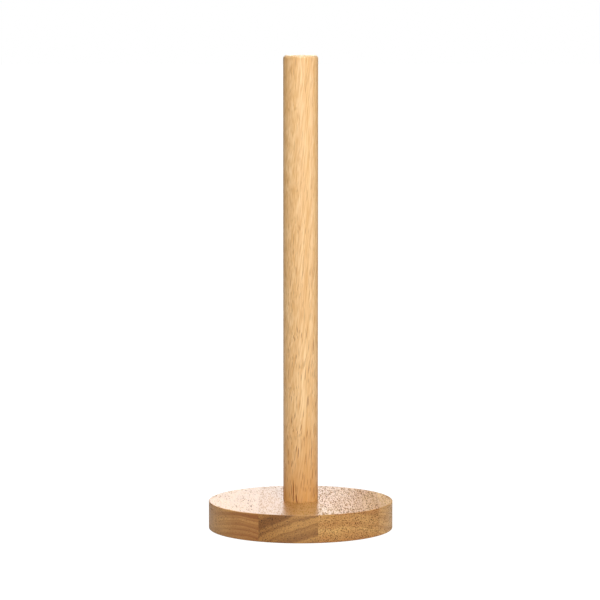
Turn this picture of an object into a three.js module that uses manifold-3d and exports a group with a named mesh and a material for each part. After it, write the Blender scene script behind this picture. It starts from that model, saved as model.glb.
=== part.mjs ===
// Upright paper towel holder: a round laminated wooden base, a turned wooden post standing in a
// socket in its middle, one screw with a washer that pulls the post down from below, and four
// rubber pads underneath. Millimetres, +Z up. The origin is the middle of the plane that the pads
// stand on. The strips of the base run along Y, and +X is to the right seen from the front.

import * as THREE from "three";
import { mergeVertices } from "three/addons/utils/BufferGeometryUtils.js";
import Module from "manifold-3d";

// ---------------------------------------------------------------- driving dimensions

// Base: a disc sawn from a board of edge-glued strips.
const BASE_DIAMETER = 130;
const BASE_THICKNESS = 19.5;
const BASE_ARRIS = 0.8; // radius of the softened top and bottom edges
const RIGHT_STRIP_WIDTH = 10.5; // what the disc leaves of the strip at its right edge
const WHOLE_STRIP_WIDTHS = [42.5, 41]; // the strips left of it; the last strip takes what remains
const GLUE_LINE = 0.1; // thickness of the glue between neighbouring pieces of wood

// Post: one dowel with a rounded top end.
const POST_DIAMETER = 24.5;
const POST_ABOVE_BASE = 314;
const POST_TOP_ROUND = 2.5;
const POST_FOOT_CHAMFER = 0.8;

// Socket in the base that holds the foot of the post.
const SOCKET_DEPTH = 8;
const SOCKET_CLEARANCE = 0.15; // radial, filled by glue

// Screw: pan head with a cross recess, coarse wood thread.
const SCREW_LENGTH = 40; // from under the head to the point
const SCREW_THREAD_DIAMETER = 5;
const SCREW_ROOT_DIAMETER = 3.4;
const SCREW_PITCH = 2.3;
const SCREW_PLAIN_LENGTH = 9; // unthreaded neck under the head
const SCREW_NECK_DIAMETER = 3.8;
const SCREW_POINT_LENGTH = 5;
const SCREW_HEAD_DIAMETER = 9.5;
const SCREW_HEAD_HEIGHT = 3.2;
const SCREW_HEAD_ROUND = 1.9; // radius between the head's side and its flat face
const RECESS_WIDTH = 1.3; // of each arm of the cross
const RECESS_SPAN = 5.2; // across two opposite arms, at the mouth
const RECESS_BOTTOM_SPAN = 1.8; // the same at the bottom of the recess
const RECESS_DEPTH = 2.1;
const PILOT_CLEARANCE = 0.15; // radial, between the thread's crest and the hole in the post
const PILOT_EXTRA_DEPTH = 3; // hole beyond the screw's point
const DRILL_POINT_ANGLE = 118; // degrees, of the cone that the drill leaves at the end of the hole

// Washer, and the stepped hole in the base that takes it and the screw.
const WASHER_DIAMETER = 15;
const WASHER_HOLE_CLEARANCE = 0.25; // radial, around the thread's crest
const WASHER_THICKNESS = 1.2;
const SCREW_HOLE_CLEARANCE = 0.4; // radial, between the thread's crest and the hole in the base
const COUNTERBORE_CLEARANCE = 0.75; // radial, around the washer
const HEAD_SETBACK = 1.1; // how far the screw's head stays inside the base

// Self-adhesive pads.
const PAD_DIAMETER = 12;
const PAD_THICKNESS = 1.5;
const PAD_EDGE_ROUND = 0.4;
const PAD_RIM_SETBACK = 9; // from the edge of the pad to the edge of the base

// How finely round surfaces are divided.
const RIM_SEGMENTS = 120;
const POST_SEGMENTS = 64;
const HARDWARE_SEGMENTS = 40;
const THREAD_SEGMENTS = 16;
const THREAD_ROWS_PER_TURN = 5;
const ROUND_STEPS = 5;

const CUTTER_REACH = 1; // how far a cutting solid reaches past the face that it opens through
const SAME_POINT = 1e-4; // vertices nearer than this are one

// ---------------------------------------------------------------- derived sizes and places

const baseRadius = BASE_DIAMETER / 2;
const baseBottomZ = PAD_THICKNESS;
const baseTopZ = baseBottomZ + BASE_THICKNESS;
const socketRadius = POST_DIAMETER / 2 + SOCKET_CLEARANCE;
const socketFloorZ = baseTopZ - SOCKET_DEPTH;
const postFootZ = socketFloorZ + GLUE_LINE;
const postTopZ = baseTopZ + POST_ABOVE_BASE;
const washerSeatZ = baseBottomZ + HEAD_SETBACK + SCREW_HEAD_HEIGHT + WASHER_THICKNESS;
const washerHoleRadius = SCREW_THREAD_DIAMETER / 2 + WASHER_HOLE_CLEARANCE;
const underHeadZ = washerSeatZ - WASHER_THICKNESS;
const headFaceZ = underHeadZ - SCREW_HEAD_HEIGHT;
const screwPointZ = underHeadZ + SCREW_LENGTH;
const counterboreRadius = WASHER_DIAMETER / 2 + COUNTERBORE_CLEARANCE;
const screwHoleRadius = SCREW_THREAD_DIAMETER / 2 + SCREW_HOLE_CLEARANCE;
const pilotRadius = SCREW_THREAD_DIAMETER / 2 + PILOT_CLEARANCE;
const pilotTopZ = screwPointZ + PILOT_EXTRA_DEPTH;
const padCircleRadius = baseRadius - PAD_RIM_SETBACK - PAD_DIAMETER / 2;

// ---------------------------------------------------------------- materials

const strongTan = wood(0xb98652);
const warmBrown = wood(0xa06c3f);
const paleTan = wood(0xc2905c);
const lightTan = wood(0xcfa06c);
const honey = wood(0xdcb07c);
const zincPlate = new THREE.MeshStandardMaterial({ color: 0xb9bcc0, roughness: 0.35, metalness: 1 });
const greyRubber = new THREE.MeshStandardMaterial({ color: 0x3a3a3c, roughness: 0.9, metalness: 0 });

function wood(color) {
  return new THREE.MeshStandardMaterial({ color, roughness: 0.45, metalness: 0 });
}

// ---------------------------------------------------------------- shared helpers

// A solid of revolution about +Z. The profile is a list of [radius, z] pairs.
function turned(profile, segments) {
  const points = profile.map(([radius, z]) => new THREE.Vector2(radius, z));
  return new THREE.LatheGeometry(points, segments).rotateX(Math.PI / 2);
}

// Points of a quarter round of the given radius about (r, z), from one angle to the other.
function roundCorner(r, z, radius, fromDegrees, toDegrees) {
  const points = [];
  for (let i = 0; i <= ROUND_STEPS; i++) {
    const angle = THREE.MathUtils.degToRad(
      THREE.MathUtils.lerp(fromDegrees, toDegrees, i / ROUND_STEPS),
    );
    points.push([r + radius * Math.cos(angle), z + radius * Math.sin(angle)]);
  }
  return points;
}

function cylinder(radius, fromZ, toZ, segments) {
  return turned([[0, fromZ], [radius, fromZ], [radius, toZ], [0, toZ]], segments);
}

const manifold = await Module();
manifold.setup();

// A closed three.js geometry as a manifold-3d solid, for cutting and joining.
function toSolid(geometry) {
  const bare = geometry.clone();
  bare.deleteAttribute("normal");
  bare.deleteAttribute("uv");
  const merged = mergeVertices(bare, SAME_POINT);
  return new manifold.Manifold(
    new manifold.Mesh({
      numProp: 3,
      vertProperties: merged.attributes.position.array,
      triVerts: new Uint32Array(merged.index.array),
    }),
  );
}

function toGeometry(solid) {
  const mesh = solid.getMesh();
  const geometry = new THREE.BufferGeometry();
  geometry.setAttribute("position", new THREE.BufferAttribute(mesh.vertProperties, 3));
  geometry.setIndex(new THREE.BufferAttribute(mesh.triVerts, 1));
  geometry.computeVertexNormals();
  return geometry;
}

function piece(name, geometry, material) {
  const mesh = new THREE.Mesh(geometry, material);
  mesh.name = name;
  return mesh;
}

// ---------------------------------------------------------------- base

// The whole disc with both edges softened, centred on the Z axis.
function discSolid() {
  const inner = baseRadius - BASE_ARRIS;
  return toSolid(
    turned(
      [
        [0, baseBottomZ],
        ...roundCorner(inner, baseBottomZ + BASE_ARRIS, BASE_ARRIS, -90, 0),
        ...roundCorner(inner, baseTopZ - BASE_ARRIS, BASE_ARRIS, 0, 90),
        [0, baseTopZ],
      ],
      RIM_SEGMENTS,
    ),
  );
}

// The socket for the post, the hole for the screw and the counterbore for its head and washer.
function steppedHoleSolid() {
  const aboveZ = baseTopZ + CUTTER_REACH;
  const belowZ = baseBottomZ - CUTTER_REACH;
  return toSolid(cylinder(socketRadius, socketFloorZ, aboveZ, POST_SEGMENTS))
    .add(toSolid(cylinder(screwHoleRadius, baseBottomZ, baseTopZ, HARDWARE_SEGMENTS)))
    .add(toSolid(cylinder(counterboreRadius, belowZ, washerSeatZ, HARDWARE_SEGMENTS)));
}

// The edges of the strips across the disc, from left to right.
function stripEdges() {
  const edges = [baseRadius, baseRadius - RIGHT_STRIP_WIDTH];
  for (const width of WHOLE_STRIP_WIDTHS) edges.push(edges.at(-1) - width);
  edges.push(-baseRadius);
  return edges.reverse();
}

function baseStrips() {
  const names = ["left", "centre_left", "centre_right", "right"];
  const colours = [strongTan, warmBrown, paleTan, lightTan];
  const edges = stripEdges();
  const blank = discSolid().subtract(steppedHoleSolid());
  return names.map((name, i) => {
    const isLast = i === names.length - 1;
    const leftX = i === 0 ? edges[i] - CUTTER_REACH : edges[i] + GLUE_LINE / 2;
    const rightX = isLast ? edges[i + 1] + CUTTER_REACH : edges[i + 1] - GLUE_LINE / 2;
    const slab = new THREE.BoxGeometry(
      rightX - leftX,
      BASE_DIAMETER + 2 * CUTTER_REACH,
      BASE_THICKNESS + 2 * CUTTER_REACH,
    );
    slab.translate((leftX + rightX) / 2, 0, (baseBottomZ + baseTopZ) / 2);
    return piece(`base_strip_${name}`, toGeometry(blank.intersect(toSolid(slab))), colours[i]);
  });
}

// ---------------------------------------------------------------- post

function post() {
  const radius = POST_DIAMETER / 2;
  const drillTip = pilotRadius / Math.tan(THREE.MathUtils.degToRad(DRILL_POINT_ANGLE / 2));
  const profile = [
    [0, pilotTopZ + drillTip],
    [pilotRadius, pilotTopZ],
    [pilotRadius, postFootZ],
    [radius - POST_FOOT_CHAMFER, postFootZ],
    [radius, postFootZ + POST_FOOT_CHAMFER],
    ...roundCorner(radius - POST_TOP_ROUND, postTopZ - POST_TOP_ROUND, POST_TOP_ROUND, 0, 90),
    [0, postTopZ],
  ];
  return piece("post", turned(profile, POST_SEGMENTS), honey);
}

// ---------------------------------------------------------------- screw and washer

// Height of the thread above its root, from 0 to 1, where turns counts pitches along the screw.
// The thread is a sharp ridge that takes five eighths of the pitch, with plain root between.
function threadRidge(turns) {
  const ridgeShare = 5 / 8;
  const pitchesFromCrest = Math.abs(turns - Math.round(turns));
  return Math.max(0, 1 - pitchesFromCrest / (ridgeShare / 2));
}

// The threaded body is a lathe whose radius is then raised along a helix. Both ends of the thread
// fade out, into the plain neck below and into the point above.
function screwBodyGeometry() {
  const rootRadius = SCREW_ROOT_DIAMETER / 2;
  const neckRadius = SCREW_NECK_DIAMETER / 2;
  const threadHeight = (SCREW_THREAD_DIAMETER - SCREW_ROOT_DIAMETER) / 2;
  const threadFromZ = underHeadZ + SCREW_PLAIN_LENGTH;
  const insideHeadZ = underHeadZ - SCREW_HEAD_HEIGHT / 2;
  const rowStep = SCREW_PITCH / THREAD_ROWS_PER_TURN;
  const rows = Math.floor((screwPointZ - threadFromZ) / rowStep);
  const profile = [
    [0, insideHeadZ],
    [neckRadius, insideHeadZ],
    [neckRadius, threadFromZ - rowStep],
  ];
  for (let i = 0; i < rows; i++) {
    const z = threadFromZ + i * rowStep;
    profile.push([rootRadius * pointTaper(z), z]);
  }
  profile.push([0, screwPointZ]);
  const geometry = turned(profile, THREAD_SEGMENTS);
  const position = geometry.attributes.position;
  for (let i = 0; i < position.count; i++) {
    const [x, y, z] = [position.getX(i), position.getY(i), position.getZ(i)];
    const root = Math.hypot(x, y);
    if (z < threadFromZ || root < SAME_POINT) continue;
    const fadeIn = Math.min(1, (z - threadFromZ) / SCREW_PITCH);
    const turns = (z - threadFromZ) / SCREW_PITCH - Math.atan2(y, x) / (2 * Math.PI);
    const raised = root + threadHeight * fadeIn * pointTaper(z) * threadRidge(turns);
    position.setXY(i, (x * raised) / root, (y * raised) / root);
  }
  return geometry;
}

// 1 along the shank, falling evenly to 0 at the screw's point.
function pointTaper(z) {
  return Math.min(1, (screwPointZ - z) / SCREW_POINT_LENGTH);
}

// The pan head: a low dome that faces down, with a flat seat that bears on the washer.
function screwHeadGeometry() {
  const radius = SCREW_HEAD_DIAMETER / 2;
  const profile = [
    [0, headFaceZ],
    ...roundCorner(radius - SCREW_HEAD_ROUND, headFaceZ + SCREW_HEAD_ROUND, SCREW_HEAD_ROUND, -90, 0),
    [radius, underHeadZ],
    [0, underHeadZ],
  ];
  return turned(profile, HARDWARE_SEGMENTS);
}

// One arm pair of the cross recess: a flat wedge that narrows towards the bottom of the recess.
function recessArmGeometry() {
  const mouth = RECESS_SPAN / 2;
  const bottom = RECESS_BOTTOM_SPAN / 2;
  const outline = new THREE.Shape([
    new THREE.Vector2(-mouth, -CUTTER_REACH),
    new THREE.Vector2(mouth, -CUTTER_REACH),
    new THREE.Vector2(mouth, 0),
    new THREE.Vector2(bottom, RECESS_DEPTH),
    new THREE.Vector2(-bottom, RECESS_DEPTH),
    new THREE.Vector2(-mouth, 0),
  ]);
  const arm = new THREE.ExtrudeGeometry(outline, { depth: RECESS_WIDTH, bevelEnabled: false });
  arm.translate(0, 0, -RECESS_WIDTH / 2);
  arm.rotateX(Math.PI / 2);
  return arm.translate(0, 0, headFaceZ);
}

function postScrew() {
  const arm = recessArmGeometry();
  const solid = toSolid(screwHeadGeometry())
    .add(toSolid(screwBodyGeometry()))
    .subtract(toSolid(arm))
    .subtract(toSolid(arm.clone().rotateZ(Math.PI / 2)));
  return piece("post_screw", toGeometry(solid), zincPlate);
}

function screwWasher() {
  const outer = WASHER_DIAMETER / 2;
  const profile = [
    [washerHoleRadius, underHeadZ],
    [outer, underHeadZ],
    [outer, washerSeatZ],
    [washerHoleRadius, washerSeatZ],
    [washerHoleRadius, underHeadZ],
  ];
  return piece("screw_washer", turned(profile, HARDWARE_SEGMENTS), zincPlate);
}

// ---------------------------------------------------------------- pads

function footPads() {
  const corners = [
    ["front_left", -135],
    ["front_right", -45],
    ["back_right", 45],
    ["back_left", 135],
  ];
  const radius = PAD_DIAMETER / 2;
  const profile = [
    [0, 0],
    ...roundCorner(radius - PAD_EDGE_ROUND, PAD_EDGE_ROUND, PAD_EDGE_ROUND, -90, 0),
    [radius, PAD_THICKNESS],
    [0, PAD_THICKNESS],
  ];
  return corners.map(([name, degrees]) => {
    const angle = THREE.MathUtils.degToRad(degrees);
    const pad = piece(`foot_pad_${name}`, turned(profile, HARDWARE_SEGMENTS), greyRubber);
    pad.position.set(padCircleRadius * Math.cos(angle), padCircleRadius * Math.sin(angle), 0);
    return pad;
  });
}

// ---------------------------------------------------------------- the object

const holder = new THREE.Group();
holder.add(...baseStrips(), post(), postScrew(), screwWasher(), ...footPads());

export default holder;
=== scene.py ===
# %% [markdown]
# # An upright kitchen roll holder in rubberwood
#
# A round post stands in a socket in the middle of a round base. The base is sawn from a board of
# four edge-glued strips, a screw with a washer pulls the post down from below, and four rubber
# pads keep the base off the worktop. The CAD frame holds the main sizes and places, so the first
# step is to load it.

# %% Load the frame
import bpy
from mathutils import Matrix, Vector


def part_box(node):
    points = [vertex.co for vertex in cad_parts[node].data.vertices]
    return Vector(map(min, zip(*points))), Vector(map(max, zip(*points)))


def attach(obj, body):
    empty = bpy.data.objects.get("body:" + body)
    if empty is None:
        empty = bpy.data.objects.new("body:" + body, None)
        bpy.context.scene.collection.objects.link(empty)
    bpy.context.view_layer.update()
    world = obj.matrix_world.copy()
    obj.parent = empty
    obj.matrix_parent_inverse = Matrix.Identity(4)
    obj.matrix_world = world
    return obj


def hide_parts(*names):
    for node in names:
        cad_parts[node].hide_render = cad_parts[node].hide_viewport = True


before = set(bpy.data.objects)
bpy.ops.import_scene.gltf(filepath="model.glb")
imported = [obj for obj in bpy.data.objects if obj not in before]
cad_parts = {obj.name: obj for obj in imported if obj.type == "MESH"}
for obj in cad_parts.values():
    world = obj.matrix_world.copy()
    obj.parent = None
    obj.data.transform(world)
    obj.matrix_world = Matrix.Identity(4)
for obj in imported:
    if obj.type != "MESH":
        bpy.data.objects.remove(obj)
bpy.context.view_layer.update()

# %% Tools used below
import math

import bmesh
import bpy
from mathutils import Vector

MM = 0.001
print("Blender", bpy.app.version_string)

# %% [markdown]
# ## Measures
#
# Blender works in metres here. What can be measured on the frame is measured there, so that a
# changed CAD model changes this one with it. The few sizes that a box can't give, such as the
# radius of a softened edge, are the maker's own and are named at the step that needs them.

# %% Measures from the frame
STRIPS = ["base_strip_left", "base_strip_centre_left", "base_strip_centre_right", "base_strip_right"]
PADS = ["foot_pad_front_left", "foot_pad_front_right", "foot_pad_back_right", "foot_pad_back_left"]

base_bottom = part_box(STRIPS[0])[0].z
base_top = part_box(STRIPS[0])[1].z
base_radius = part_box(STRIPS[-1])[1].x
post_low, post_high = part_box("post")
post_radius = post_high.x
washer_low, washer_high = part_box("screw_washer")
washer_radius = washer_high.x
print("base", round(2000 * base_radius, 1), "mm across, post", round(2000 * post_radius, 1), "mm")

# %% [markdown]
# ## Camera
#
# A tall thin object is best looked at from far off through a long lens, so that the post keeps
# its width from top to bottom. A short lens close by would make the post lean and the base swell.
# So the camera stands two metres away, a little above the top of the post, and looks down by a
# little over five degrees, which opens the top of the base into a narrow ellipse. The view
# transform is Standard, which leaves a white background white.

# %% Camera
CAMERA_DISTANCE = 1.9873
CAMERA_HEIGHT = 0.3498
AIM_HEIGHT = 0.1632
SIDESTEP = -0.45 * MM  # the post stands this much right of the middle of the view
SENSOR_WIDTH = 36
LENS_LENGTH = 170.25
camera_data = bpy.data.cameras.new("camera")
camera_data.sensor_width = SENSOR_WIDTH
camera_data.lens = LENS_LENGTH
camera = bpy.data.objects.new("camera", camera_data)
camera.location = (SIDESTEP, -CAMERA_DISTANCE, CAMERA_HEIGHT)
line_of_sight = Vector((SIDESTEP, 0, AIM_HEIGHT)) - camera.location
camera.rotation_euler = line_of_sight.to_track_quat("-Z", "Y").to_euler()
bpy.context.scene.collection.objects.link(camera)
bpy.context.scene.camera = camera
bpy.context.scene.view_settings.view_transform = "Standard"
down = math.degrees(math.asin(-line_of_sight.normalized().z))
print("camera looks down by", round(down, 2), "degrees")

# %% [markdown]
# ## Helpers for node trees
#
# A material is a tree of nodes. One helper adds a node from its type, its settings and what goes
# into its inputs. An input takes a plain value or another node's output, so that a whole pattern
# reads from top to bottom. Settings come first, because they decide which inputs a node has. A
# second helper turns the hex code of a colour, which is what a paint chart gives, into the linear
# numbers that a shader works with.


# %% Node helper
def add_node(tree, kind, inputs=None, **settings):
    """Adds one node, sets it up and fills or links its inputs, which go by name or number."""
    made = tree.nodes.new(kind)
    for name, value in settings.items():
        setattr(made, name, value)
    for socket, value in (inputs or {}).items():
        if isinstance(value, bpy.types.NodeSocket):
            tree.links.new(value, made.inputs[socket])
        else:
            made.inputs[socket].default_value = value
    return made


# %% Colour helper
def colour(hex_code):
    """An sRGB hex code as the linear colour that a shader takes."""
    channels = [int(hex_code[i : i + 2], 16) / 255 for i in (0, 2, 4)]
    linear = [c / 12.92 if c <= 0.04045 else ((c + 0.055) / 1.055) ** 2.4 for c in channels]
    return (*linear, 1)


WHITE = colour("FFFFFF")
print("half of full brightness on the screen is", round(colour("808080")[0], 3), "of the light")


# %% Material helper
def new_material(name):
    """An empty material with its tree and its output node."""
    material = bpy.data.materials.new(name)
    material.use_nodes = True
    tree = material.node_tree
    tree.nodes.clear()
    output = add_node(tree, "ShaderNodeOutputMaterial")
    return material, tree, output


# %% [markdown]
# ## The room
#
# The object stands in a plain white room. A bright room would light it from all sides and flatten
# it. So the room gives only a dim light of its own, and a Light Path node lets the camera alone
# see it as pure white.

# %% The white room
ROOM_LIGHT = 0.19
world = bpy.data.worlds.new("white_room")
world.use_nodes = True
bpy.context.scene.world = world
tree = world.node_tree
tree.nodes.clear()
seen = add_node(tree, "ShaderNodeBackground", {"Color": WHITE, "Strength": 1.0})
given = add_node(tree, "ShaderNodeBackground", {"Color": WHITE, "Strength": ROOM_LIGHT})
path = add_node(tree, "ShaderNodeLightPath")
choice = add_node(
    tree,
    "ShaderNodeMixShader",
    {0: path.outputs["Is Camera Ray"], 1: given.outputs[0], 2: seen.outputs[0]},
)
add_node(tree, "ShaderNodeOutputWorld", {"Surface": choice.outputs[0]})
print("the room lights the object with", ROOM_LIGHT)

# %% [markdown]
# ## The paper floor
#
# The floor is matt paper. It throws light back up on the post and on the rim of the base, as paper
# does, so its own shader is a plain diffuse one. It is light grey rather than white, which keeps
# that light soft. For the camera most of it is replaced by a white glow, so that no horizon shows
# and only a faint shadow of the base is left.

# %% The floor
FLOOR_RADIUS = 30
FLOOR_SEGMENTS = 64
PAPER_SHADOW_SHARE = 0.12
PAPER_GLOW = 1.2
paper, tree, output = new_material("white_paper")
lit = add_node(tree, "ShaderNodeBsdfDiffuse", {"Color": colour("BCBCBC")})
glow = add_node(tree, "ShaderNodeEmission", {"Color": WHITE, "Strength": PAPER_GLOW})
path = add_node(tree, "ShaderNodeLightPath")
camera_share = add_node(
    tree,
    "ShaderNodeMath",
    {0: path.outputs["Is Camera Ray"], 1: 1 - PAPER_SHADOW_SHARE},
    operation="MULTIPLY",
)
mixed = add_node(
    tree,
    "ShaderNodeMixShader",
    {0: camera_share.outputs[0], 1: lit.outputs[0], 2: glow.outputs[0]},
)
tree.links.new(mixed.outputs[0], output.inputs["Surface"])

bm = bmesh.new()
bmesh.ops.create_circle(bm, cap_ends=True, radius=FLOOR_RADIUS, segments=FLOOR_SEGMENTS)
floor_mesh = bpy.data.meshes.new("floor")
bm.to_mesh(floor_mesh)
bm.free()
floor_mesh.materials.append(paper)
floor = bpy.data.objects.new("floor", floor_mesh)
bpy.context.scene.collection.objects.link(floor)
print("a round floor of", FLOOR_RADIUS, "metres radius")

# %% [markdown]
# ## The softboxes
#
# Soft light comes from broad rectangles. The front box models the post and the rim, and the side
# boxes lift the post's flanks, the right one more than the left. The overhead box puts the pale
# line on the rounded top of the post, together with a pale painted highlight in the post's end
# colour. The top of the base is seen at a glancing angle, so it acts as a dull mirror for what
# stands behind it: two strips of light there, a broad one on the left and a narrow one near the
# middle, make the sheen that fades to the right. A high box behind the object keeps its back from
# going dark.
#
# The brightness of a box is its power per square metre over pi, so boxes of different sizes with
# the same value look equally bright.


# %% A softbox
AIM_AT_POST = (0, 0, 0.17)
AIM_AT_BASE = (0, 0, 0.02)


def softbox(name, place, width, height, brightness, aim=AIM_AT_POST):
    """A rectangle of light, in metres, that faces its aim and that the camera doesn't see."""
    data = bpy.data.lights.new(name, "AREA")
    data.shape = "RECTANGLE"
    data.size = width
    data.size_y = height
    data.energy = brightness * math.pi * width * height
    light = bpy.data.objects.new(name, data)
    light.location = place
    light.rotation_euler = (Vector(aim) - light.location).to_track_quat("-Z", "Y").to_euler()
    light.visible_camera = False
    bpy.context.scene.collection.objects.link(light)
    print(name, round(data.energy, 2), "watts")


# %% The softboxes
softbox("front_softbox", (0.15, -1.75, 0.75), 2.0, 1.6, 2.2)
softbox("right_side_softbox", (1.5, -0.45, 0.5), 0.8, 1.2, 2.6)
softbox("left_side_softbox", (-1.5, -0.45, 0.5), 0.8, 1.2, 0.9)
softbox("overhead_softbox", (0.05, -0.55, 0.95), 0.45, 1.0, 3.4)
softbox("back_high_softbox", (0, 1.3, 1.5), 1.6, 1.0, 3.0)
softbox("back_left_strip_light", (-0.09, 0.9, 0.26), 0.17, 0.5, 2.6, AIM_AT_BASE)
softbox("back_right_strip_light", (0.02, 0.9, 0.26), 0.07, 0.5, 2.9, AIM_AT_BASE)

# %% [markdown]
# ## Rubberwood
#
# Rubberwood is a pale tan hardwood with open pores. Its grain is a bundle of fibres and vessels
# that run along the board. An image wrapped round each piece would show seams and would never
# agree between a top and a rim. So the grain is a solid pattern, as in the real wood: the same
# vessel shows as a dash where a face runs along the grain and as a dot where a face cuts across.
# The pattern is worked out in the wood's own coordinates, in millimetres, with Z along the grain.
#
# Noise is soft everywhere. A Map Range node with a smooth step turns such a soft value into a
# share: at the first limit it gives its lowest value, and at the second its highest.


# %% The wood's own coordinates
def grain_coordinates(tree, turn=(0, 0, 0), place=(0, 0, 0)):
    """Object coordinates in millimetres, turned by Euler degrees so that Z runs along the grain."""
    object_place = add_node(tree, "ShaderNodeTexCoord")
    mapping = add_node(
        tree,
        "ShaderNodeMapping",
        {
            "Vector": object_place.outputs["Object"],
            "Location": place,
            "Rotation": [math.radians(angle) for angle in turn],
            "Scale": (1 / MM, 1 / MM, 1 / MM),
        },
        vector_type="POINT",
    )
    return mapping.outputs["Vector"]


# %% Stretched noise
NOISE_LOW = 0.3  # nearly all of a noise lies between these two
NOISE_HIGH = 0.7
print("a noise runs from about", NOISE_LOW, "to", NOISE_HIGH)


def stretched_noise(tree, grain, across_mm, along_mm, detail=2.0):
    """Noise whose lumps are across_mm wide and along_mm long."""
    squeezed = add_node(
        tree,
        "ShaderNodeMapping",
        {"Vector": grain, "Scale": (1 / across_mm, 1 / across_mm, 1 / along_mm)},
        vector_type="POINT",
    )
    noise = add_node(
        tree,
        "ShaderNodeTexNoise",
        {"Vector": squeezed.outputs[0], "Scale": 1.0, "Detail": detail},
    )
    return noise.outputs["Fac"]


# %% [markdown]
# ## Growth rings
#
# A tree adds one ring a year round its pith, the centre line of the trunk. Where a board was sawn
# from the trunk decides how its rings run: a pith far below the board gives long flat arcs on the
# end grain, and one to the side gives upright ones. So a board is given the place of its pith, and
# a ring is a band of equal distance from it. The bands come from one-dimensional noise, because
# years differ, and the distance wanders a little along the board, because trunks aren't round.

# %% Growth rings
RING_WANDER_ACROSS_MM = 18
RING_WANDER_ALONG_MM = 90
print("rings wander over", RING_WANDER_ALONG_MM, "mm along the grain")


def growth_rings(tree, grain, pith, ring_mm, wander_mm):
    """Bands of 0 to 1 around the pith, about ring_mm apart."""
    from_pith = add_node(
        tree,
        "ShaderNodeMapping",
        {"Vector": grain, "Location": (-pith[0], -pith[1], 0), "Scale": (1, 1, 0)},
        vector_type="POINT",
    )
    radius = add_node(tree, "ShaderNodeVectorMath", {0: from_pith.outputs[0]}, operation="LENGTH")
    wander = stretched_noise(tree, grain, RING_WANDER_ACROSS_MM, RING_WANDER_ALONG_MM, detail=1.0)
    wandered = add_node(
        tree,
        "ShaderNodeMath",
        {0: wander, 1: wander_mm, 2: radius.outputs["Value"]},
        operation="MULTIPLY_ADD",
    )
    ring_number = add_node(
        tree, "ShaderNodeMath", {0: wandered.outputs[0], 1: ring_mm}, operation="DIVIDE"
    )
    bands = add_node(
        tree,
        "ShaderNodeTexNoise",
        {"W": ring_number.outputs[0], "Scale": 1.0, "Detail": 3.0, "Roughness": 0.6},
        noise_dimensions="1D",
    )
    clear = add_node(
        tree,
        "ShaderNodeMapRange",
        {"Value": bands.outputs["Fac"], "From Min": NOISE_LOW, "From Max": NOISE_HIGH},
        interpolation_type="SMOOTHSTEP",
    )
    return clear.outputs["Result"]


# %% [markdown]
# ## Vessels
#
# The vessels carried the tree's water. Cut open by the saw they are the pores of the wood. Lines
# of noise would give streaks without ends, and on end grain blots instead of dots. A Voronoi
# pattern stretched along the grain has one slim ellipsoid in each cell, which is right on both.
#
# Real vessels are about 0.2 mm wide, too fine to show from two metres away. They are drawn 0.45
# to 1 mm wide, and there are fewer of them. A slow noise shifts the cells, so that the dashes
# don't line up.

# %% Vessels
BEND_PER_MM = 0.05
BEND_MM = (3.0, 3.0, 3.0)  # the furthest shift of a cell
SOFT_EDGE = 0.55  # share of a vessel's radius where its full depth begins
FAINTEST_VESSEL = 0.35
print("vessels bend with lumps of", round(1 / BEND_PER_MM), "mm")


def vessels(tree, grain, spacing_mm, length_mm, width_mm):
    """Slim ellipsoids along the grain, one in each cell, each with its own darkness."""
    bend = add_node(tree, "ShaderNodeTexNoise", {"Vector": grain, "Scale": BEND_PER_MM, "Detail": 1.0})
    bent = add_node(
        tree,
        "ShaderNodeVectorMath",
        {0: bend.outputs["Color"], 1: BEND_MM, 2: grain},
        operation="MULTIPLY_ADD",
    )
    radius = 0.5 * width_mm / spacing_mm
    cell_length = 0.5 * length_mm / radius
    squeezed = add_node(
        tree,
        "ShaderNodeMapping",
        {"Vector": bent.outputs[0], "Scale": (1 / spacing_mm, 1 / spacing_mm, 1 / cell_length)},
        vector_type="POINT",
    )
    cells = add_node(
        tree,
        "ShaderNodeTexVoronoi",
        {"Vector": squeezed.outputs[0], "Scale": 1.0, "Randomness": 1.0},
    )
    body = add_node(
        tree,
        "ShaderNodeMapRange",
        {"Value": cells.outputs["Distance"], "From Min": radius, "From Max": SOFT_EDGE * radius},
        interpolation_type="SMOOTHSTEP",
    )
    own = add_node(tree, "ShaderNodeSeparateColor", {"Color": cells.outputs["Color"]})
    strength = add_node(
        tree,
        "ShaderNodeMapRange",
        {"Value": own.outputs["Red"], "To Min": FAINTEST_VESSEL, "To Max": 1.0},
        interpolation_type="SMOOTHSTEP",
    )
    made = add_node(
        tree, "ShaderNodeMath", {0: body.outputs[0], 1: strength.outputs[0]}, operation="MULTIPLY"
    )
    return made.outputs[0]


# %% [markdown]
# ## End grain, slow changes and long marks
#
# End grain drinks lacquer like a bundle of straws, so on the strips it is darker than a face along
# the grain. On the post the same share lays a pale painted highlight over the rounded top.
# How much a face cuts across is the grain's direction against the surface normal, both on the
# piece itself, so the shade stays put when the camera moves.
#
# A board also changes slowly from sapwood to darker heartwood, and resin streaks stand at their
# own places. Painting them by hand would need an image. So a slow change is a smooth step along
# one axis of the grain, and a streak is one slim ellipsoid placed on the piece. On the post the
# slow change is painted shade: it darkens the wood towards the foot, next to the base.


# %% End grain
ALONG_LIMIT = 0.1  # sine of the angle between face and grain where end grain begins
ACROSS_LIMIT = 0.95  # and where it is complete
print("end grain starts", round(math.degrees(math.asin(ALONG_LIMIT))), "degrees off the grain")


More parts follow.
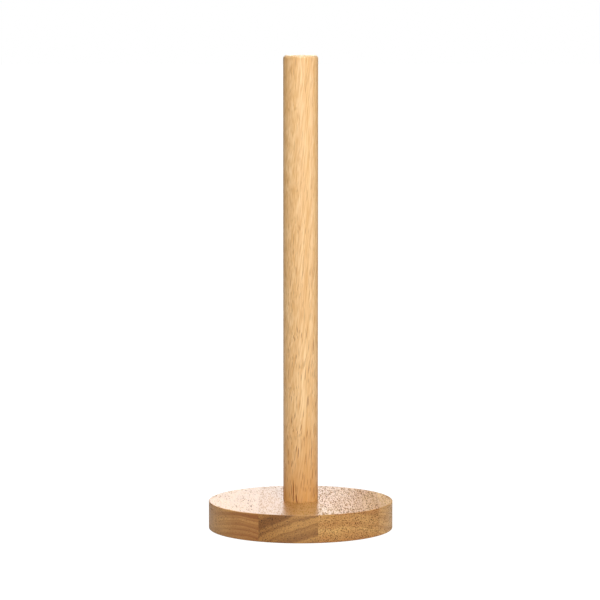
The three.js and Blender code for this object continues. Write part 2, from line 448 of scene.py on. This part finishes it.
def end_grain(tree, turn):
    """1 where a face cuts across the grain, 0 where it runs along it."""
    facing = add_node(tree, "ShaderNodeTexCoord")
    turned = add_node(
        tree,
        "ShaderNodeMapping",
        {
            "Vector": facing.outputs["Normal"],
            "Rotation": [math.radians(angle) for angle in turn],
        },
        vector_type="VECTOR",
    )
    parts = add_node(tree, "ShaderNodeSeparateXYZ", {"Vector": turned.outputs[0]})
    along = add_node(tree, "ShaderNodeMath", {0: parts.outputs["Z"]}, operation="ABSOLUTE")
    cut_across = add_node(
        tree,
        "ShaderNodeMapRange",
        {"Value": along.outputs[0], "From Min": ALONG_LIMIT, "From Max": ACROSS_LIMIT},
        interpolation_type="SMOOTHSTEP",
    )
    return cut_across.outputs["Result"]


# %% Slow changes and long marks
MARK_CORE = 0.4  # share of a mark's size that has its full depth
print("the outer", round(1 - MARK_CORE, 1), "of a mark fades out")


def change_along(tree, grain, axis, from_mm, to_mm, share):
    """A slow rise from 0 to share between two places along one grain axis."""
    places = add_node(tree, "ShaderNodeSeparateXYZ", {"Vector": grain})
    rise = add_node(
        tree,
        "ShaderNodeMapRange",
        {"Value": places.outputs[axis], "From Min": from_mm, "From Max": to_mm, "To Max": share},
        interpolation_type="SMOOTHSTEP",
    )
    return rise.outputs["Result"]


def long_mark(tree, place_mm, width_mm, length_mm):
    """One slim upright ellipsoid at a place on the piece."""
    object_place = add_node(tree, "ShaderNodeTexCoord")
    centred = add_node(
        tree,
        "ShaderNodeVectorMath",
        {0: object_place.outputs["Object"], 1: [side * MM for side in place_mm]},
        operation="SUBTRACT",
    )
    squeezed = add_node(
        tree,
        "ShaderNodeVectorMath",
        {0: centred.outputs[0], 1: (2 / width_mm / MM, 2 / width_mm / MM, 2 / length_mm / MM)},
        operation="MULTIPLY",
    )
    distance = add_node(tree, "ShaderNodeVectorMath", {0: squeezed.outputs[0]}, operation="LENGTH")
    mark = add_node(
        tree,
        "ShaderNodeMapRange",
        {"Value": distance.outputs["Value"], "From Min": 1.0, "From Max": MARK_CORE},
        interpolation_type="SMOOTHSTEP",
    )
    return mark.outputs["Result"]


# %% [markdown]
# ## The rubberwood material
#
# Sanded and lacquered rubberwood is built up in layers of colour, as a painter glazes. The
# ground tone swings with the rings and clouds over slowly. On the strips heartwood and end grain
# deepen it. On the post the same two layers are painted shade towards the foot and a pale painted
# highlight on the rounded top. Fine fibre streaks run through it. The pores come last: they are
# darker, duller and a little lower than the wood round them. To the eye this gives a warm satin
# surface, with pores that break the sheen where light glances over it.
#
# Real fibres are about 0.03 mm wide, far too fine to show, and are drawn as streaks 0.55 mm wide.


# %% The pores of the wood
SMALL_VESSEL_SHARE = 0.8
print("small vessels show at", SMALL_VESSEL_SHARE, "of the large ones")


def open_pores(tree, grain, board):
    """1 inside an open pore or a long mark and 0 in sound wood."""
    large = vessels(tree, grain, *board["vessels"])
    small = vessels(tree, grain, *board["fine_vessels"])
    faint = add_node(tree, "ShaderNodeMath", {0: small, 1: SMALL_VESSEL_SHARE}, operation="MULTIPLY")
    pores = add_node(tree, "ShaderNodeMath", {0: large, 1: faint.outputs[0]}, operation="MAXIMUM")
    for place_mm, width_mm, length_mm in board.get("marks", ()):
        mark = long_mark(tree, place_mm, width_mm, length_mm)
        pores = add_node(tree, "ShaderNodeMath", {0: pores.outputs[0], 1: mark}, operation="MAXIMUM")
    return pores.outputs[0]


def pore_shade(tree, grain, board, pores, across):
    """How much of the pore colour shows."""
    rise = change_along(tree, grain, *board["pore_rise"])
    depth = add_node(tree, "ShaderNodeMath", {0: rise, 1: board["pore_share"]}, operation="ADD")
    left_open = add_node(
        tree,
        "ShaderNodeMapRange",
        {"Value": across, "To Min": board["face_pores"], "To Max": 1.0},
        interpolation_type="SMOOTHSTEP",
    )
    depth = add_node(
        tree, "ShaderNodeMath", {0: depth.outputs[0], 1: left_open.outputs[0]}, operation="MULTIPLY"
    )
    shade = add_node(tree, "ShaderNodeMath", {0: pores, 1: depth.outputs[0]}, operation="MULTIPLY")
    return shade.outputs[0]


# %% The colours of the wood
FIBRE_WIDTH_MM = 0.55
FIBRE_LENGTH_MM = 22
CLOUD_WIDTH_MM = 14
CLOUD_LENGTH_MM = 80
FIBRE_LIMITS = (0.4, 0.62)
CLOUD_LIMITS = (0.35, 0.65)
print("fibre streaks are", FIBRE_WIDTH_MM, "by", FIBRE_LENGTH_MM, "mm")


def colour_shares(tree, grain, board, fibre, across):
    """How much of each tone lies over the ones before it: rings, clouds, heartwood (on the post
    painted shade at the foot), end grain (on the post a painted top highlight), fibres.
    """
    rings = growth_rings(tree, grain, board["pith"], board["ring_mm"], board["wander_mm"])
    ringed = add_node(tree, "ShaderNodeMath", {0: rings, 1: board["ring_share"]}, operation="MULTIPLY")
    cloud = stretched_noise(tree, grain, CLOUD_WIDTH_MM, CLOUD_LENGTH_MM)
    thin, thick = CLOUD_LIMITS
    clouded = add_node(
        tree,
        "ShaderNodeMapRange",
        {
            "Value": cloud,
            "From Min": thin,
            "From Max": thick,
            "To Max": board["cloud_share"],
        },
        interpolation_type="SMOOTHSTEP",
    )
    # on the strips this is heartwood; on the post it is painted shade that darkens the foot next to
    # the base
    heart_and_foot_shade = change_along(tree, grain, *board["heart_and_foot_shade"])
    # on the strips the end colour darkens the cut ends; on the post it is a pale painted highlight on
    # the rounded top
    pale_ring_end_share, deep_ring_end_share = board["end_share"]
    end_darkening_and_highlight = add_node(
        tree,
        "ShaderNodeMapRange",
        {"Value": rings, "To Min": pale_ring_end_share, "To Max": deep_ring_end_share},
        interpolation_type="SMOOTHSTEP",
    )
    end_grain_and_top_highlight = add_node(tree, "ShaderNodeMath", {0: across, 1: end_darkening_and_highlight.outputs[0]}, operation="MULTIPLY")
    faint, full = FIBRE_LIMITS
    streaked = add_node(
        tree,
        "ShaderNodeMapRange",
        {"Value": fibre, "From Min": faint, "From Max": full, "To Max": board["fibre_share"]},
        interpolation_type="SMOOTHSTEP",
    )
    return [ringed.outputs[0], clouded.outputs[0], heart_and_foot_shade, end_grain_and_top_highlight.outputs[0], streaked.outputs[0]]


# %% The material
LACQUER_IOR = 1.5
PORE_DEPTH = 0.05 * MM
RELIEF_STRENGTH = 0.5
FIBRE_RELIEF = 0.15  # how deep a fibre line is against a pore
FULL_PORE = 0.6  # above this a pore has its full roughness


def rubberwood(name, board):
    """The lacquered wood of one board."""
    material, tree, output = new_material(name)
    grain = grain_coordinates(tree, board["turn"], board["place"])
    fibre = stretched_noise(tree, grain, FIBRE_WIDTH_MM, FIBRE_LENGTH_MM, detail=1.5)
    across = end_grain(tree, board["turn"])
    pores = open_pores(tree, grain, board)

    shares = colour_shares(tree, grain, board, fibre, across)
    shares.append(pore_shade(tree, grain, board, pores, across))
    wood = colour(board["light"])
    for share, tone in zip(shares, ("dark", "dark", "dark", "end", "dark", "pore")):
        layer = add_node(
            tree, "ShaderNodeMix", {0: share, 6: wood, 7: colour(board[tone])}, data_type="RGBA"
        )
        wood = layer.outputs[2]

    dulled = add_node(
        tree,
        "ShaderNodeMapRange",
        {
            "Value": pores,
            "From Max": FULL_PORE,
            "To Min": board["roughness"],
            "To Max": board["pore_roughness"],
        },
        interpolation_type="SMOOTHSTEP",
    )
    relief = add_node(
        tree, "ShaderNodeMath", {0: fibre, 1: FIBRE_RELIEF, 2: pores}, operation="MULTIPLY_ADD"
    )
    bump = add_node(
        tree,
        "ShaderNodeBump",
        {"Strength": RELIEF_STRENGTH, "Distance": PORE_DEPTH, "Height": relief.outputs[0]},
        invert=True,
    )
    shader = add_node(
        tree,
        "ShaderNodeBsdfPrincipled",
        {
            "Base Color": wood,
            "Roughness": dulled.outputs["Result"],
            "IOR": LACQUER_IOR,
            "Normal": bump.outputs[0],
        },
    )
    tree.links.new(shader.outputs[0], output.inputs["Surface"])
    print(material.name, "has", len(tree.nodes), "nodes")
    return material


# %% [markdown]
# ## Five boards
#
# Each strip comes from another board, and the post from a fifth one, so each has its own record:
#
# - light and dark are the palest and the deepest tone along the grain, end is what end grain
#   darkens to on the strips and, on the post, a pale painted highlight for its rounded top, and
#   pore is the inside of a vessel.
# - turn, in degrees, and place, in millimetres, lay the grain in the piece: in the strips it runs
#   from front to back, and in the post upwards. pith, ring_mm and wander_mm place the rings.
# - ring_share, cloud_share, fibre_share and pore_share say how strongly each layer shows, and
#   end_share does so for end grain, in the pale and in the deep part of a ring.
# - heart_and_foot_shade darkens the wood and pore_rise its pores by a slow change: the grain axis
#   (0 is across and 2 is along), the millimetres where it starts and ends, and how much. On the
#   strips this darkening is heartwood. On the post it is painted shade towards the foot.
# - vessels and fine_vessels give spacing, length and width in millimetres.
# - roughness is that of lacquered wood and pore_roughness that of a pore. face_pores is how
#   strongly pores show on a face along the grain, where lacquer can fill them, against end grain.
# - marks are resin streaks: place on the piece, width and length, in millimetres.
#
# The left strip is a plain one. Its end grain shows gently arched lines, because the pith lay
# straight below it, and the pores of its top are smooth.

# %% The left strip
boards = {}
boards["base_strip_left"] = {
    "light": "D9A560",
    "dark": "A0642A",
    "end": "84461A",
    "pore": "4E2C12",
    "turn": (88, 5, 0),
    "place": (0, 0, 5),
    "pith": (-44, 25),
    "ring_mm": 3.5,
    "wander_mm": 4.0,
    "ring_share": 0.2,
    "cloud_share": 0.3,
    "fibre_share": 0.5,
    "end_share": (0.15, 0.85),
    "pore_share": 0.4,
    "heart_and_foot_shade": (0, -60, -29, 0.4),
    "pore_rise": (0, -60, -29, 0.15),
    "vessels": (1.6, 8.0, 0.9),
    "fine_vessels": (1.0, 6.0, 0.6),
    "roughness": 0.34,
    "pore_roughness": 0.6,
    "face_pores": 1.6,
}
print("left strip: rings", boards["base_strip_left"]["ring_mm"], "mm apart")

# %% [markdown]
# The centre left strip was cut near heartwood. Its end grain is the darkest of the four, with wide
# soft bands that rise to the right, because the pith lay far below and to the right.

# %% The centre left strip
boards["base_strip_centre_left"] = {
    "light": "CF9A53",
    "dark": "9E642A",
    "end": "6A3E12",
    "pore": "321A08",
    "turn": (90, 0, 0),
    "place": (0, 0, 70),
    "pith": (32.7, 91.0),
    "ring_mm": 9.0,
    "wander_mm": 5.0,
    "ring_share": 0.5,
    "cloud_share": 0.1,
    "fibre_share": 0.25,
    "end_share": (0.18, 0.72),
    "pore_share": 0.7,
    "heart_and_foot_shade": (0, -2, -29, 0.5),
    "pore_rise": (0, -2, -29, 0.25),
    "vessels": (1.5, 8.0, 1.0),
    "fine_vessels": (0.8, 6.0, 0.75),
    "roughness": 0.34,
    "pore_roughness": 0.6,
    "face_pores": 0.35,
}
print("centre left strip: rings", boards["base_strip_centre_left"]["ring_mm"], "mm apart")

# %% [markdown]
# The centre right strip is pale and full of large open pores. They are rough inside, so they stand
# out as brown specks in the sheen of its top.

# %% The centre right strip
boards["base_strip_centre_right"] = {
    "light": "DEB068",
    "dark": "B87A38",
    "end": "9C5E2C",
    "pore": "4A240C",
    "turn": (90, 0, -3),
    "place": (0, 0, 31),
    "pith": (33, 120),
    "ring_mm": 6.0,
    "wander_mm": 8.0,
    "ring_share": 0.55,
    "cloud_share": 0.35,
    "fibre_share": 0.25,
    "end_share": (0.12, 0.56),
    "pore_share": 1.0,
    "heart_and_foot_shade": (0, 42, 58, 0.3),
    "pore_rise": (0, 42, 58, 0.0),
    "vessels": (1.2, 8.0, 0.95),
    "fine_vessels": (0.7, 6.0, 0.7),
    "roughness": 0.32,
    "pore_roughness": 0.95,
    "face_pores": 0.9,
}
print("centre right strip: rings", boards["base_strip_centre_right"]["ring_mm"], "mm apart")

# %% [markdown]
# The right strip is a narrow offcut of the palest board. Its rings are close and fall to the
# right, because the pith lay below and to the left.

# %% The right strip
boards["base_strip_right"] = {
    "light": "E6B874",
    "dark": "B47C3E",
    "end": "9A622C",
    "pore": "4A240C",
    "turn": (93, 0, -8),
    "place": (0, 0, 12),
    "pith": (40, 50),
    "ring_mm": 2.5,
    "wander_mm": 6.0,
    "ring_share": 0.55,
    "cloud_share": 0.25,
    "fibre_share": 0.5,
    "end_share": (-0.1, 0.68),
    "pore_share": 0.65,
    "heart_and_foot_shade": (0, 60, 70, 0.1),
    "pore_rise": (0, 60, 70, 0.05),
    "vessels": (1.7, 8.0, 1.0),
    "fine_vessels": (0.8, 6.0, 0.7),
    "roughness": 0.32,
    "pore_roughness": 0.9,
    "face_pores": 0.9,
}
print("right strip: rings", boards["base_strip_right"]["ring_mm"], "mm apart")

# %% [markdown]
# The post is turned from pale sapwood and polished on the lathe. Its vessels are thin dashes that
# lean a few degrees, because the grain isn't quite straight. Towards the foot the wood darkens with
# painted shade next to the base, the dashes get stronger, and two resin streaks run down to the
# socket. Its end colour is pale, and this is a painted highlight on the rounded top edge.

# %% The board of the post
boards["post"] = {
    "light": "F1CB96",
    "dark": "C88C40",
    # a pale painted highlight on the rounded top, laid in as the end-grain colour
    "end": "F6E2C0",
    "pore": "7A3A0C",
    "turn": (2, -5, 0),
    "place": (5, 9, 3),
    "pith": (18, 26),
    "ring_mm": 5.0,
    "wander_mm": 10.0,
    "ring_share": 0.3,
    "cloud_share": 0.12,
    "fibre_share": 0.5,
    "end_share": (0.7, 0.7),
    "pore_share": 0.4,
    # painted shade: the wood darkens towards the foot, next to the base
    "heart_and_foot_shade": (2, 100, 16, 0.65),
    "pore_rise": (2, 240, 60, 0.55),
    "vessels": (1.2, 13.0, 0.6),
    "fine_vessels": (0.7, 10.0, 0.45),
    "roughness": 0.3,
    "pore_roughness": 0.8,
    "face_pores": 1.0,
    "marks": [((-5.2, -11.1, 29), 0.9, 22), ((-3.0, -11.9, 24), 1.0, 9)],
}
print("post: rings", boards["post"]["ring_mm"], "mm apart")

# %% The five woods
woods = {name: rubberwood("lacquered_rubberwood_" + name, board) for name, board in boards.items()}

# %% [markdown]
# ## Dried wood glue
#
# Wood glue dries to a clear amber film. To the eye a joint a tenth of a millimetre wide is only a
# thin brown line with a dull gloss. The film is spread unevenly, in patches of a few millimetres,
# so its colour changes a little along the line.

# %% Dried glue
GLUE_PATCH_MM = 3
glue, tree, output = new_material("dried_wood_glue")
patches = stretched_noise(tree, grain_coordinates(tree), GLUE_PATCH_MM, GLUE_PATCH_MM)
amber = add_node(
    tree,
    "ShaderNodeMix",
    {0: patches, 6: colour("A8743C"), 7: colour("8A5826")},
    data_type="RGBA",
)
shader = add_node(
    tree,
    "ShaderNodeBsdfPrincipled",
    {"Base Color": amber.outputs[2], "Roughness": 0.4, "IOR": 1.48},
)
tree.links.new(shader.outputs[0], output.inputs["Surface"])
print(glue.name, "with patches of", GLUE_PATCH_MM, "mm")

# %% [markdown]
# ## Bright zinc plate
#
# The screw and its washer are steel, zinc plated in a turning barrel with hundreds of others.
# Plain shiny metal would look chromed. To the eye the plate is a bluish grey, and knocks in the
# barrel leave fine scuffs, which break its reflections into soft patches. Real scuffs are about
# 0.1 mm across and are drawn 0.3 mm across.

# %% Bright zinc plate
SCUFF_MM = 0.3
SCUFF_DEPTH = 0.02 * MM
BRIGHTEST_ZINC = 0.22
DULLEST_ZINC = 0.42
zinc, tree, output = new_material("barrel_zinc_plated_steel")
scuffs = stretched_noise(tree, grain_coordinates(tree), SCUFF_MM, SCUFF_MM, detail=3.0)
tint = add_node(
    tree,
    "ShaderNodeMix",
    {0: scuffs, 6: colour("CDD1D6"), 7: colour("A9AFB8")},
    data_type="RGBA",
)
dulled = add_node(
    tree,
    "ShaderNodeMapRange",
    {
        "Value": scuffs,
        "From Min": NOISE_LOW,
        "From Max": NOISE_HIGH,
        "To Min": BRIGHTEST_ZINC,
        "To Max": DULLEST_ZINC,
    },
    interpolation_type="SMOOTHSTEP",
)
bump = add_node(tree, "ShaderNodeBump", {"Strength": 0.3, "Distance": SCUFF_DEPTH, "Height": scuffs})
shader = add_node(
    tree,
    "ShaderNodeBsdfPrincipled",
    {
        "Base Color": tint.outputs[2],
        "Metallic": 1.0,
        "Roughness": dulled.outputs["Result"],
        "Normal": bump.outputs[0],
    },
)
tree.links.new(shader.outputs[0], output.inputs["Surface"])
print(zinc.name, "with scuffs of", SCUFF_MM, "mm")

# %% [markdown]
# ## Moulded rubber
#
# The pads are black rubber, moulded in a tool that was spark-eroded. To the eye rubber is never
# quite black, and the fine grain of the mould keeps it matt, so its edges catch a weak grey light.
# The grain of such a mould is about 0.1 mm and is drawn 0.25 mm coarse.

# %% Moulded rubber
MOULD_GRAIN_MM = 0.25
MOULD_GRAIN_DEPTH = 0.05 * MM
SMOOTHEST_RUBBER = 0.7
ROUGHEST_RUBBER = 0.9
rubber, tree, output = new_material("moulded_rubber")
eroded = stretched_noise(tree, grain_coordinates(tree), MOULD_GRAIN_MM, MOULD_GRAIN_MM)
black = add_node(
    tree,
    "ShaderNodeMix",
    {0: eroded, 6: colour("2A2A2B"), 7: colour("383838")},
    data_type="RGBA",
)
dulled = add_node(
    tree,
    "ShaderNodeMapRange",
    {
        "Value": eroded,
        "From Min": NOISE_LOW,
        "From Max": NOISE_HIGH,
        "To Min": SMOOTHEST_RUBBER,
        "To Max": ROUGHEST_RUBBER,
    },
    interpolation_type="SMOOTHSTEP",
)
bump = add_node(
    tree, "ShaderNodeBump", {"Strength": 0.6, "Distance": MOULD_GRAIN_DEPTH, "Height": eroded}
)
shader = add_node(
    tree,
    "ShaderNodeBsdfPrincipled",
    {
        "Base Color": black.outputs[2],
        "Roughness": dulled.outputs["Result"],
        "IOR": 1.52,
        "Normal": bump.outputs[0],
    },
)
tree.links.new(shader.outputs[0], output.inputs["Surface"])
print(rubber.name, "with a grain of", MOULD_GRAIN_MM, "mm")

# %% [markdown]
# ## Turned shapes
#
# The base, the post, the washer and the pads are all round about an upright axis. Each could be a
# cylinder with bevelled edges, but then its steps and holes would need cutting. A lathe does it in
# one go, and so does spin: half of the cross section is drawn as a profile and swept round once.
# The last step of the spin lands on the first one, and use_merge joins them. Points on the axis
# fall together, so doubles are removed before the normals are worked out.

# %% Rounded corners of a profile
def arc(centre_radius, centre_z, radius, from_degrees, to_degrees, steps=6):
    """Points of a rounded corner in the plane of a profile."""
    points = []
    for step in range(steps + 1):
        angle = math.radians(from_degrees + (to_degrees - from_degrees) * step / steps)
        points.append(
            (centre_radius + radius * math.cos(angle), centre_z + radius * math.sin(angle))
        )
    return points


print("a quarter round has", len(arc(0, 0, 1, 0, 90)), "points")


# %% Spinning a profile
SAME_POINT = 0.001 * MM
print("points nearer than", round(SAME_POINT / MM, 3), "mm count as one")


def spin_profile(profile, segments, closed):
    """A bmesh of the profile, a list of (radius, z), spun once round the Z axis."""
    bm = bmesh.new()
    points = [bm.verts.new((radius, 0, z)) for radius, z in profile]
    edges = [bm.edges.new(pair) for pair in zip(points, points[1:])]
    if closed:
        edges.append(bm.edges.new((points[-1], points[0])))
    bmesh.ops.spin(
        bm,
        geom=points + edges,
        cent=(0, 0, 0),
        axis=(0, 0, 1),
        angle=math.tau,
        steps=segments,
        use_merge=True,
        use_normal_flip=False,
        use_duplicate=False,
    )
    bmesh.ops.remove_doubles(bm, verts=bm.verts, dist=SAME_POINT)
    return bm


# %% Finishing a piece
CREASE_ANGLE = math.radians(30)  # edges sharper than this stay sharp in shading
print("creases start at", round(math.degrees(CREASE_ANGLE)), "degrees")


def finish_piece(bm, name, material, slot, *nodes):
    """Turns a bmesh into a piece that rides on the body and stands for its CAD nodes."""
    bmesh.ops.recalc_face_normals(bm, faces=bm.faces)
    for face in bm.faces:
        face.smooth = True
    for edge in bm.edges:
        edge.smooth = edge.calc_face_angle(0) < CREASE_ANGLE
    mesh = bpy.data.meshes.new(name)
    bm.to_mesh(mesh)
    bm.free()
    mesh.materials.append(material)
    piece = bpy.data.objects.new(name, mesh)
    bpy.context.scene.collection.objects.link(piece)
    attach(piece, "root")
    if nodes:
        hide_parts(*nodes)
    print(name, len(mesh.polygons), "faces")


# %% [markdown]
# ## The base
#
# On the bench the four strips are glued edge to edge, and only then is the disc sawn, drilled and
# sanded. The same order works here: the disc with its stepped hole is one spun ring, and each
# strip is cut out of a copy of it with two planes. Four separate shapes would have to be fitted to
# each other, and this way their tops and rims are flush, as sanding leaves them.
#
# The sander also softens the edges by half a millimetre. Next to each softened edge runs one more
# loop, which keeps the flat faces flat in shading.

# %% The disc and its stepped hole
RIM_SEGMENTS = 256
HOLDING_LOOP = 0.4 * MM
EDGE_SOFTENING = 0.5 * MM
GLUE_THICKNESS = 0.1 * MM
SOCKET_CLEARANCE = 0.15 * MM
COUNTERBORE_CLEARANCE = 0.75 * MM
SCREW_HOLE_RADIUS = 2.9 * MM
SOCKET_FLOOR = post_low.z - GLUE_THICKNESS
print("the socket is", round((base_top - SOCKET_FLOOR) / MM, 1), "mm deep")


def base_ring(shrink=0.0):
    """The whole base, or the same shape with every face moved inwards by shrink."""
    rim = base_radius - shrink
    top = base_top - shrink
    bottom = base_bottom + shrink
    soft = EDGE_SOFTENING
    socket = post_radius + SOCKET_CLEARANCE + shrink
    hole = SCREW_HOLE_RADIUS + shrink
    counterbore = washer_radius + COUNTERBORE_CLEARANCE + shrink
    profile = [
        (counterbore, bottom),
        (rim - soft - HOLDING_LOOP, bottom),
        *arc(rim - soft, bottom + soft, soft, -90, 0),
        (rim, bottom + soft + HOLDING_LOOP),
        (rim, top - soft - HOLDING_LOOP),
        *arc(rim - soft, top - soft, soft, 0, 90),
        (rim - soft - HOLDING_LOOP, top),
        (socket, top),
        (socket, SOCKET_FLOOR - shrink),
        (hole, SOCKET_FLOOR - shrink),
        (hole, washer_high.z + shrink),
        (counterbore, washer_high.z + shrink),
    ]
    return spin_profile(profile, RIM_SEGMENTS, closed=True)


# %% Cutting a slab out of the disc
def cut_slab(bm, left_x, right_x):
    """Keeps what lies between two upright planes across X and closes the cuts."""
    for x, side in ((left_x, -1), (right_x, 1)):
        if abs(x) >= base_radius:
            continue
        cut = bmesh.ops.bisect_plane(
            bm,
            geom=bm.verts[:] + bm.edges[:] + bm.faces[:],
            dist=SAME_POINT,
            plane_co=(x, 0, 0),
            plane_no=(side, 0, 0),
            clear_outer=True,
        )
        edges = [item for item in cut["geom_cut"] if isinstance(item, bmesh.types.BMEdge)]
        bmesh.ops.triangle_fill(bm, edges=edges, use_beauty=True, use_dissolve=True)
    return bm


# %% The strips
SLOTS = {
    "base_strip_left": "strip_tan",
    "base_strip_centre_left": "strip_brown",
    "base_strip_centre_right": "strip_pale",
    "base_strip_right": "strip_light",
}
for name in STRIPS:
    low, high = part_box(name)
    strip = cut_slab(base_ring(), low.x, high.x)
    finish_piece(strip, name + "_sanded", woods[name], SLOTS[name], name)

# %% [markdown]
# ## Glue films
#
# A tenth of a millimetre of glue dries to a thin amber line between two strips. Without it light
# would shine through the joints. Each film is cut out of the same spun disc, between the two cut
# faces of its neighbours, and all its other faces lie a twentieth of a millimetre below those of
# the wood, because glue shrinks as it dries.

# %% The glue films
GLUE_SHRINK = 0.05 * MM
for left, right in zip(STRIPS, STRIPS[1:]):
    film = cut_slab(base_ring(GLUE_SHRINK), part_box(left)[1].x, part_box(right)[0].x)
    joint_name = left.replace("base_strip_", "glue_film_") + "_to" + right.replace("base_strip", "")
    finish_piece(film, joint_name, glue, SLOTS[left])

# %% [markdown]
# ## The post
#
# The post is a turned dowel. A cylinder would do for its middle, but the ends make it look real:
# a rounded top edge that catches the light, a small chamfer that leads the foot into the socket,
# and the drilled hole that the screw bites into. All of it is one profile. The hole ends in the
# cone that a drill with a point angle of 118 degrees leaves.

# %% The post
POST_SEGMENTS = 128
POST_TOP_ROUND = 2.5 * MM
POST_FOOT_CHAMFER = 0.8 * MM
PILOT_RADIUS = 2.65 * MM
PILOT_TOP = 48.8 * MM
DRILL_HALF_ANGLE = math.radians(59)
ROUND_STEPS = 10
round_centre = (post_radius - POST_TOP_ROUND, post_high.z - POST_TOP_ROUND)
drill_tip = PILOT_RADIUS / math.tan(DRILL_HALF_ANGLE)
profile = [
    (0, PILOT_TOP + drill_tip),
    (PILOT_RADIUS, PILOT_TOP),
    (PILOT_RADIUS, post_low.z),
    (post_radius - POST_FOOT_CHAMFER, post_low.z),
    (post_radius, post_low.z + POST_FOOT_CHAMFER),
    (post_radius, post_high.z - POST_TOP_ROUND - HOLDING_LOOP),
    *arc(*round_centre, POST_TOP_ROUND, 0, 90, ROUND_STEPS),
    (post_radius - POST_TOP_ROUND - HOLDING_LOOP, post_high.z),
    (0, post_high.z),
]
post = spin_profile(profile, POST_SEGMENTS, closed=False)
finish_piece(post, "post_turned", woods["post"], "post_wood", "post")

# %% [markdown]
# ## The washer
#
# The washer is stamped out of sheet, so its punched edges are a little round. Its profile is a
# rectangle with four rounded corners, closed into a loop and spun at a distance from the axis,
# which leaves the hole.

# %% The washer
HARDWARE_SEGMENTS = 64
WASHER_EDGE_ROUND = 0.2 * MM
WASHER_HOLE_RADIUS = 2.75 * MM
inner = WASHER_HOLE_RADIUS + WASHER_EDGE_ROUND
outer = washer_radius - WASHER_EDGE_ROUND
lower = washer_low.z + WASHER_EDGE_ROUND
upper = washer_high.z - WASHER_EDGE_ROUND
profile = [
    *arc(outer, lower, WASHER_EDGE_ROUND, -90, 0),
    *arc(outer, upper, WASHER_EDGE_ROUND, 0, 90),
    *arc(inner, upper, WASHER_EDGE_ROUND, 90, 180),
    *arc(inner, lower, WASHER_EDGE_ROUND, 180, 270),
]
washer = spin_profile(profile, HARDWARE_SEGMENTS, closed=True)
finish_piece(washer, "washer_stamped", zinc, "zinc_steel", "screw_washer")

# %% [markdown]
# ## The screw
#
# The screw has a rolled thread and a cross recess, and the CAD model already has both. A shape
# that is right stays as it is, and only its material slots are filled with the zinc plate.

# %% The screw
for material_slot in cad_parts["post_screw"].material_slots:
    material_slot.material = zinc
print("post_screw keeps its CAD shape")

# %% [markdown]
# ## The pads
#
# Four moulded rubber discs are stuck to the underside. The edge that meets the worktop is rounded,
# so that the pad comes out of its mould and doesn't catch. Each pad is spun about the upright
# axis and then moved to its place in its mesh, so that its object stays at the origin.

# %% The pads
PAD_EDGE_ROUND = 0.4 * MM
for name in PADS:
    low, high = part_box(name)
    centre = (low + high) / 2
    radius = (high.x - low.x) / 2
    profile = [
        (0, low.z),
        *arc(radius - PAD_EDGE_ROUND, low.z + PAD_EDGE_ROUND, PAD_EDGE_ROUND, -90, 0),
        (radius, high.z),
        (0, high.z),
    ]
    pad = spin_profile(profile, HARDWARE_SEGMENTS, closed=False)
    bmesh.ops.translate(pad, verts=pad.verts, vec=(centre.x, centre.y, 0))
    finish_piece(pad, name + "_moulded", rubber, "pad_rubber", name)
